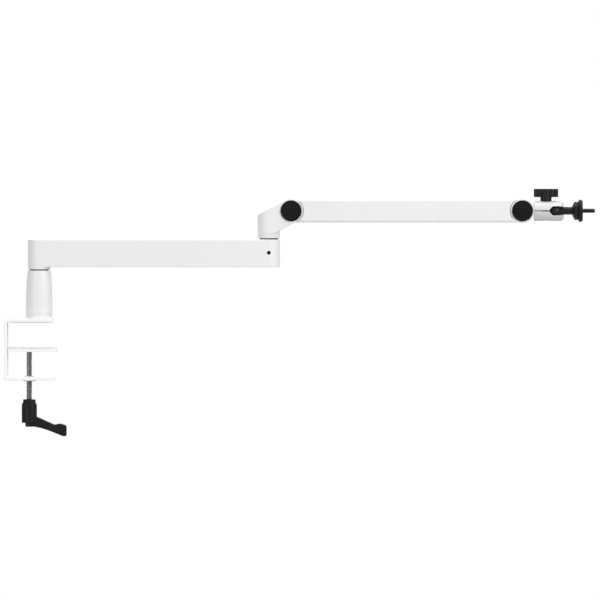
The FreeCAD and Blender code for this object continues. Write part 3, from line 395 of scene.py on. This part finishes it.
def finish(name, tones, metallic, rough, grain, depth, drift=20.0, edge=0.25, painted_edge_highlight=None,
           stretch=(1, 1, 1), specular=0.5, speck=None):
    """A surface: two drifting tones, a fine grain in height and roughness, soft edges and a painted
    highlight along them.
    """
    material = bpy.data.materials.new(name)
    material.use_nodes = True
    tree = material.node_tree
    shader = tree.nodes["Principled BSDF"]
    bevel = linked(tree, "ShaderNodeBevel", {"Radius": edge * MM}, {})
    bevel.samples = 6
    rounded = bevel.outputs["Normal"]

    colour = mixed(tree, spread(tree, noise(tree, drift), 0, 1), *tones)
    if speck:
        specks = spread(tree, noise(tree, SPECK_GRAIN, 1.0), 0, 1, 0.62, 0.78)
        colour = mixed(tree, specks, colour, speck)
    # painted highlight: every softened edge is lightened towards the edge tone, whichever way it faces
    # the lamps
    if painted_edge_highlight:
        colour = mixed(tree, painted_highlight_mask(tree, rounded), colour, painted_edge_highlight)
    tree.links.new(colour, shader.inputs["Base Color"])

    fine = noise(tree, grain, 3.0, stretch)
    tree.links.new(spread(tree, fine, *rough), shader.inputs["Roughness"])
    relief = linked(tree, "ShaderNodeBump", {"Distance": depth * MM}, {"Height": fine, "Normal": rounded})
    tree.links.new(relief.outputs["Normal"], shader.inputs["Normal"])
    shader.inputs["Metallic"].default_value = metallic
    shader.inputs["Specular IOR Level"].default_value = specular
    return material


def grey(value, tint=0.0):
    """A grey level; a positive tint leans to yellow, and a negative one to blue."""
    return (value, value * (1 - abs(tint) * 0.15), value * (1 - tint))


def make_materials():
    """Every finish of the arm, by its material slot or by the piece it is made for."""
    # each edge tone given below is a painted highlight laid along the soft edges
    return {
        # the clamp wears the same white coat as the arms; this lighter copy is painted light, standing in
        # for the brighter light on the clamp
        "white_coat": finish(
            "clamp_coat_painted_brighter", (grey(0.91), grey(0.93, 0.005)), metallic=0, rough=(0.36, 0.5),
            grain=1500, depth=0.02, drift=12, edge=0.4, painted_edge_highlight=grey(0.97), specular=0.45),
        "white_aluminium": finish(
            "arm_powder_coat", (grey(0.80, 0.004), grey(0.82, 0.010)), metallic=0, rough=(0.4, 0.55),
            grain=1500, depth=0.022, drift=7, edge=0.4, painted_edge_highlight=grey(0.88), specular=0.45,
            speck=grey(0.76)),
        "soft_pad": finish(
            "grip_silicone", (grey(0.70), grey(0.77)), metallic=0, rough=(0.6, 0.8), grain=1300,
            depth=0.03, drift=40, edge=0.1),
        "zinc_steel": finish(
            "zinc_plated_steel", (grey(0.42, -0.02), grey(0.56, -0.04)), metallic=1, rough=(0.16, 0.34),
            grain=900, depth=0.006, drift=70, edge=0.1, painted_edge_highlight=grey(0.75)),
        "ground_steel": finish(
            "ground_steel", (grey(0.5), grey(0.58, -0.02)), metallic=1, rough=(0.12, 0.25), grain=1600,
            depth=0.004, drift=40, edge=0.1, stretch=(1, 1, 14)),
        "black_steel": finish(
            "black_anodised", (grey(0.008), grey(0.016, -0.05)), metallic=0.3, rough=(0.26, 0.42),
            grain=1400, depth=0.008, drift=60, edge=0.2, painted_edge_highlight=grey(0.05), specular=0.4),
        "cast_aluminium": finish(
            "cast_aluminium", (grey(0.45), grey(0.6)), metallic=0.9, rough=(0.4, 0.65), grain=650,
            depth=0.05, drift=50, edge=0.4),
        "silver_aluminium": finish(
            "silver_anodised", (grey(0.64), grey(0.70, -0.01)), metallic=0.35, rough=(0.46, 0.6),
            grain=900, depth=0.006, drift=30, edge=0.25, painted_edge_highlight=grey(0.9), stretch=(7, 1, 1)),
        "black_plastic": finish(
            "black_nylon", (grey(0.003), grey(0.006, -0.06)), metallic=0, rough=(0.45, 0.62), grain=1700,
            depth=0.03, drift=45, edge=0.3, painted_edge_highlight=grey(0.02), specular=0.16, speck=grey(0.012)),
        # black acetal washers, which are really black; kept this dark so that they also carry painted
        # shade for the deep hinge gaps
        "bush_plastic": finish(
            "black_acetal_with_gap_shade", (grey(0.003), grey(0.006)), metallic=0, rough=(0.4, 0.55), grain=900,
            depth=0.006, drift=40, edge=0.15, specular=0.2),
        "bronze": finish(
            "sintered_bronze", ((0.40, 0.25, 0.12), (0.50, 0.33, 0.17)), metallic=0.9,
            rough=(0.35, 0.55), grain=1100, depth=0.02, drift=50, edge=0.15, speck=(0.2, 0.12, 0.06)),
        "black_rubber": finish(
            "black_rubber", (grey(0.010), grey(0.016)), metallic=0, rough=(0.7, 0.88), grain=900,
            depth=0.04, drift=50, edge=0.15, specular=0.3),
        "bright_thread": finish(
            "threaded_zinc", (grey(0.28, -0.05), grey(0.44, -0.05)), metallic=1, rough=(0.14, 0.3),
            grain=1200, depth=0.004, drift=120, edge=0.06, painted_edge_highlight=grey(0.8)),
        "dark_thread": finish(
            "threaded_stud", (grey(0.045, -0.05), grey(0.08, -0.05)), metallic=0.9, rough=(0.25, 0.4),
            grain=1200, depth=0.006, drift=120, edge=0.06, painted_edge_highlight=grey(0.3)),
        "moulded_nylon": finish(
            "moulded_nylon", (grey(0.005), grey(0.008, -0.05)), metallic=0, rough=(0.36, 0.54),
            grain=1700, depth=0.03, drift=45, edge=0.3, specular=0.24, speck=grey(0.014)),
    }


SLOTS = {part["node"]: part["material_slot"] for part in frame["record"]["subparts"]}
MATERIALS = make_materials()


def finish_cad_nodes():
    """Every carried-over CAD node takes its material slot's finish."""
    for name, node in frame["nodes"].items():
        node.data.materials.clear()
        node.data.materials.append(MATERIALS[SLOTS[name]])


# ---- threaded pieces ----------------------------------------------------------------------------
def make_clamp_screw():
    """The clamp's long screw, with a blind hole in each end for a smaller screw."""
    node = "clamp_screw"
    hole_r, upper_hole, lower_hole = 2.55 * MM, 11.5 * MM, 9 * MM
    chamfer = 0.8 * MM
    bottom, top = low(node).z, high(node).z
    foot = Vector((middle(node).x, middle(node).y, 0))
    bores = [(top, hole_r, upper_hole), (bottom, hole_r, lower_hole)]
    rod = threaded_rod(half_size(node).x, METRIC_PITCH[node], bottom, top, foot, Z, chamfer, bores)
    make_piece("clamp_screw_thread", rod, MATERIALS["bright_thread"], "screw_body", node, 25)


def make_tension_screw():
    """The knob's threaded rod, with a blackened button on its lower end, inside the body's recess."""
    node = "tension_screw"
    button_r, button_height, soft = 4.0, 2.4, 0.4
    chamfer = 0.6 * MM
    foot = Vector((middle(node).x, middle(node).y, 0))
    bottom = low(node).z
    rod = threaded_rod(half_size(node).x, METRIC_PITCH[node], bottom, high(node).z, foot, Z, chamfer)
    button = [(0, 0), (button_r, 0, soft), (button_r, button_height, soft), (0, button_height)]
    add_turned(rod, button, Vector((foot.x, foot.y, bottom)), Z)
    make_piece("tension_screw_thread", rod, MATERIALS["dark_thread"], "knob_body", node, 25)


def make_camera_stud():
    """A threaded free end on a plain root that stays inside the lock disc and the stem."""
    node = "camera_stud"
    root_r, soft = 2.9, 0.3
    thread_past_disc, root_past_disc = 1.6 * MM, 2.2 * MM
    chamfer = 0.7 * MM
    centre = middle(node)
    foot = Vector((0, centre.y, centre.z))
    disc_end = high("lock_disc").x
    thread_start = disc_end + thread_past_disc
    rod = threaded_rod(half_size(node).y, CAMERA_PITCH, thread_start, high(node).x, foot, X, chamfer)
    root_length = (disc_end + root_past_disc - low(node).x) / MM
    root = [(0, 0), (root_r, 0, soft), (root_r, root_length), (0, root_length)]
    add_turned(rod, root, Vector((low(node).x, centre.y, centre.z)), X, 48)
    make_piece("camera_stud_thread", rod, MATERIALS["dark_thread"], "stem_body", node, 25)


# ---- spring and mouldings -----------------------------------------------------------------------
def make_lever_spring():
    """The spring under the lever's web, built at one length; on the real lever it shortens as the lever
    is pulled down.
    """
    node = "lever_spring"
    wire, turns = 0.4 * MM, 5
    bottom, top = low(node).z, high(node).z
    spring = coil(wire, half_size(node).x - wire, turns, bottom, top, middle(node))
    piece = make_piece("lever_return_spring", spring, MATERIALS["zinc_steel"], "screw_body", node)
    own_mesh(piece)


def make_clamp_lever():
    """The moulded lever: collar, hub and a drooping handle with a raised thumb end."""
    node = "clamp_lever"
    screw = middle("clamp_screw")
    top, lowest = high(node).z, low(node).z
    reach = high(node).x - screw.x
    depth = (top - low("lever_spring").z) / MM
    crown = Vector((screw.x, screw.y, top))
    # radii, heights and widths in mm, as add_turned takes them
    collar_r, hub_r, shoulder, hub_start = 8.4, 10.3, 4.0, 7.0
    handle_half_width, waist_depth, waist_end = 6.6, 1.2, 0.85
    bm = bmesh.new()
    add_turned(bm, [
        (0, 0), (collar_r, 0, 0.7), (collar_r, -shoulder, 1.5), (hub_r, -hub_start, 1.5),
        (hub_r, -depth, 1.6), (0, -depth),
    ], crown, Z)

    # stations along the handle: its distance out as a share of the reach, then its upper and lower
    # edges as shares of the fall from the hub's top to the lever's lowest point
    stations = [
        (0.04, 0.40, 0.735), (0.15, 0.445, 0.745), (0.33, 0.522, 0.784), (0.50, 0.603, 0.838),
        (0.62, 0.656, 0.884), (0.685, 0.684, 0.912), (0.72, 0.672, 0.926), (0.80, 0.656, 0.958),
        (0.88, 0.660, 0.992), (0.94, 0.686, 1.0), (0.985, 0.712, 0.992), (1.0, 0.732, 0.965),
    ]
    fall = top - lowest
    sections = []
    for out, upper, lower in stations:
        waist = 0.5 - 0.5 * math.cos(2 * math.pi * min(out / waist_end, 1))
        centre = Vector((screw.x + reach * out, screw.y, top - fall * (upper + lower) / 2))
        half_width = (handle_half_width - waist_depth * waist) * MM
        sections.append((centre, half_width, fall * (lower - upper) / 2))
    add_bar(bm, sections, squareness=0.3)

    # the screw's bore, the toothed bush's pocket, the web's hole and the spring's pocket
    screw_r, bush_r, web_r, spring_r = 4.3, 7.4, 2.8, 5.6
    bush_top, web_top, web_low = 11.0, depth - 14.0, depth - 10.0
    above, below = 1, depth + 12
    bores = bmesh.new()
    add_turned(bores, [
        (0, above), (screw_r, above), (screw_r, -bush_top), (bush_r, -bush_top), (bush_r, -web_top),
        (web_r, -web_top), (web_r, -web_low), (spring_r, -web_low), (spring_r, -below), (0, -below),
    ], crown, Z)
    mesh = moulded_mesh("clamp_lever_moulding", bm, 0.36 * MM, 5, bores)
    place_mesh("clamp_lever_moulding", mesh, MATERIALS["moulded_nylon"], "lever_body", node, 60)


def make_tension_knob():
    """The T knob: a round stem, a flat hub and two waisted wings."""
    node = "tension_knob"
    centre, bottom, top = middle(node), low(node).z, high(node).z
    height = (top - bottom) / MM
    stem_r, wing_height = 7.6, 11.2 * MM
    wing_half, waist_depth, waist_at, waist_reach = 4.6, 0.9, 0.72, 0.28
    tip_start, tip_cut = 0.9, 0.35
    foot = Vector((centre.x, centre.y, bottom))
    bm = bmesh.new()
    add_turned(bm, [(0, 0), (stem_r, 0, 0.6), (stem_r, height, 1.4), (0, height)], foot, Z)

    # stations from wing tip to wing tip, closer together near the tips
    count = 24
    sections = []
    for k in range(count + 1):
        out = math.sin(math.pi / 2 * (2 * k / count - 1))
        waist = 0.5 + 0.5 * math.cos(math.pi * min(abs(abs(out) - waist_at) / waist_reach, 1))
        taper = 1 - tip_cut * (max(abs(out) - tip_start, 0) / (1 - tip_start)) ** 2.5
        place = Vector((centre.x + half_size(node).x * out, centre.y, top - wing_height / 2))
        half_width = (wing_half - waist_depth * waist) * MM * taper
        sections.append((place, half_width, wing_height / 2 * (1 - (1 - taper) / 3)))
    add_bar(bm, sections, squareness=0.3)

    bore = half_size("tension_screw").x / MM - 0.1
    bore_end = (high("tension_screw").z - bottom) / MM
    bores = bmesh.new()
    add_turned(bores, [(0, -1), (bore, -1), (bore, bore_end), (0, bore_end)], foot, Z)
    mesh = moulded_mesh("tension_knob_moulding", bm, 0.28 * MM, 4, bores)
    place_mesh("tension_knob_moulding", mesh, MATERIALS["moulded_nylon"], "knob_body", node, 60)


def make_hinge_cap(node, body, side):
    """Push-in cap: a crowned face in a soft rim, and a skirt that enters the cheek's recess."""
    centre = middle(node)
    cap_r = half_size(node).x / MM
    proud, skirt, hollow = 2.4, 3.4, 1.0
    face = high(node).y if side > 0 else low(node).y
    seat = Vector((centre.x, face - side * proud * MM, centre.z))
    skirt_out, skirt_in = cap_r - 2.25, cap_r - 3.3
    outline = [
        (0, hollow), (skirt_in, hollow), (skirt_in, -skirt), (skirt_out, -skirt, 0.3), (skirt_out, 0),
        (cap_r, 0, 0.25), (cap_r, proud - 0.15, 0.9), (cap_r - 1.8, proud - 0.1, 0.3),
        (cap_r - 2.1, proud - 0.35, 0.15), (cap_r - 2.5, proud - 0.3, 0.3),
        (cap_r - 5.0, proud - 0.1, 1.5), (0, proud),
    ]
    bm = bmesh.new()
    add_turned(bm, outline, seat, Y * side, 128)
    make_piece(node + "_moulding", bm, MATERIALS["black_plastic"], body, node, 40)


def make_pads():
    """The two pads that grip the desk, each with its ribs towards it."""
    corner, rib_pitch = 4 * MM, 3.0 * MM
    top = ribbed_pad("top_pad", corner, 0.35 * MM, rib_pitch, 0.22 * MM, ribs_up=False)
    make_piece("top_pad_rubber", top, MATERIALS["soft_pad"], "clamp_body", "top_pad", 50)
    lower = ribbed_pad("pressure_pad", corner, 0.5 * MM, rib_pitch, 0.3 * MM, ribs_up=True)
    make_piece("pressure_pad_rubber", lower, MATERIALS["soft_pad"], "pressure_body", "pressure_pad", 50)


# ---- stage --------------------------------------------------------------------------------------
def seen_and_lit(tree, lit, seen, output):
    """The camera sees one shader, and every other ray meets the other."""
    blend = tree.nodes.new("ShaderNodeMixShader")
    tree.links.new(tree.nodes.new("ShaderNodeLightPath").outputs["Is Camera Ray"], blend.inputs[0])
    tree.links.new(lit, blend.inputs[1])
    tree.links.new(seen, blend.inputs[2])
    tree.links.new(blend.outputs["Shader"], tree.nodes[output].inputs["Surface"])


def studio_paper():
    """Pale paper that the camera sees as plain white and that bounces a little light."""
    material = bpy.data.materials.new("studio_paper")
    material.use_nodes = True
    tree = material.node_tree
    shader = tree.nodes["Principled BSDF"]
    cloud = spread(tree, noise(tree, 8, 2.0), 0, 1)
    tree.links.new(mixed(tree, cloud, grey(0.48), grey(0.52)), shader.inputs["Base Color"])
    shader.inputs["Roughness"].default_value = 0.95
    glow = linked(tree, "ShaderNodeEmission", {"Color": (1, 1, 1, 1), "Strength": 1.0}, {})
    seen_and_lit(tree, shader.outputs["BSDF"], glow.outputs["Emission"], "Material Output")
    return material


def make_floor():
    """A wide sheet of paper, well below the clamp."""
    half, drop = 9.0, 0.35
    z = cad_bounds[0].z - drop
    bm = bmesh.new()
    corners = ((-half, -half), (half, -half), (half, half), (-half, half))
    bm.faces.new([bm.verts.new((x, y, z)) for x, y in corners])
    mesh = bpy.data.meshes.new("floor")
    bm.to_mesh(mesh)
    bm.free()
    floor = bpy.data.objects.new("floor", mesh)
    bpy.context.scene.collection.objects.link(floor)
    mesh.materials.append(studio_paper())


def area_light(name, place, target, size, power):
    data = bpy.data.lights.new(name, "AREA")
    data.shape = "RECTANGLE"
    data.size, data.size_y = size
    data.energy = power
    light = bpy.data.objects.new(name, data)
    bpy.context.scene.collection.objects.link(light)
    light.location = place
    light.rotation_euler = (target - place).to_track_quat("-Z", "Y").to_euler()


def make_light():
    """A pale room with soft boxes in front on both sides, above and behind."""
    room_strength = 0.50
    world = bpy.data.worlds.new("studio")
    bpy.context.scene.world = world
    world.use_nodes = True
    tree = world.node_tree
    room = tree.nodes["Background"]
    room.inputs["Color"].default_value = (1, 1, 1, 1)
    room.inputs["Strength"].default_value = room_strength
    white = linked(tree, "ShaderNodeBackground", {"Color": (1, 1, 1, 1), "Strength": 1.0}, {})
    seen_and_lit(tree, room.outputs["Background"], white.outputs["Background"], "World Output")

    # each box's place from the arm's middle, its width and height in metres, and its power in watts
    boxes = {
        "front_right": ((2.6, -2.8, 1.5), (1.8, 2.2), 77),
        "front_left": ((-2.4, -2.9, 0.8), (1.2, 2.0), 30),
        "above": ((0, -0.2, 2.6), (3.0, 2.0), 36),
        "behind": ((0.4, 3.2, 1.6), (3.0, 1.6), 60),
    }
    target = (cad_bounds[0] + cad_bounds[1]) / 2
    for name, (offset, size, power) in boxes.items():
        area_light(name, target + Vector(offset), target, size, power)


def make_camera():
    """A long lens in front of the arm and slightly above it."""
    # the lens in mm, and the view's width and middle in metres
    focal_length = 600
    width_seen = 0.81
    aim = Vector((0.352, 0, 0.030))
    elevation = math.radians(1.2)
    data = bpy.data.cameras.new("camera")
    data.lens = focal_length
    data.sensor_width = 36
    data.clip_end = 60
    camera = bpy.data.objects.new("camera", data)
    bpy.context.scene.collection.objects.link(camera)
    distance = width_seen * data.lens / data.sensor_width
    camera.location = aim + Vector((0, -math.cos(elevation), math.sin(elevation))) * distance
    camera.rotation_euler = (math.pi / 2 - elevation, 0, 0)
    bpy.context.scene.camera = camera
    bpy.context.scene.view_settings.view_transform = "Standard"


# ---- assembly -----------------------------------------------------------------------------------
finish_cad_nodes()
make_clamp_screw()
make_tension_screw()
make_camera_stud()
make_lever_spring()
make_clamp_lever()
make_tension_knob()
for knuckle in ("elbow", "head"):
    make_hinge_cap(knuckle + "_cap_front", knuckle + "_body", -1)
    make_hinge_cap(knuckle + "_cap_back", knuckle + "_body", 1)
make_pads()
make_floor()
make_light()
make_camera()
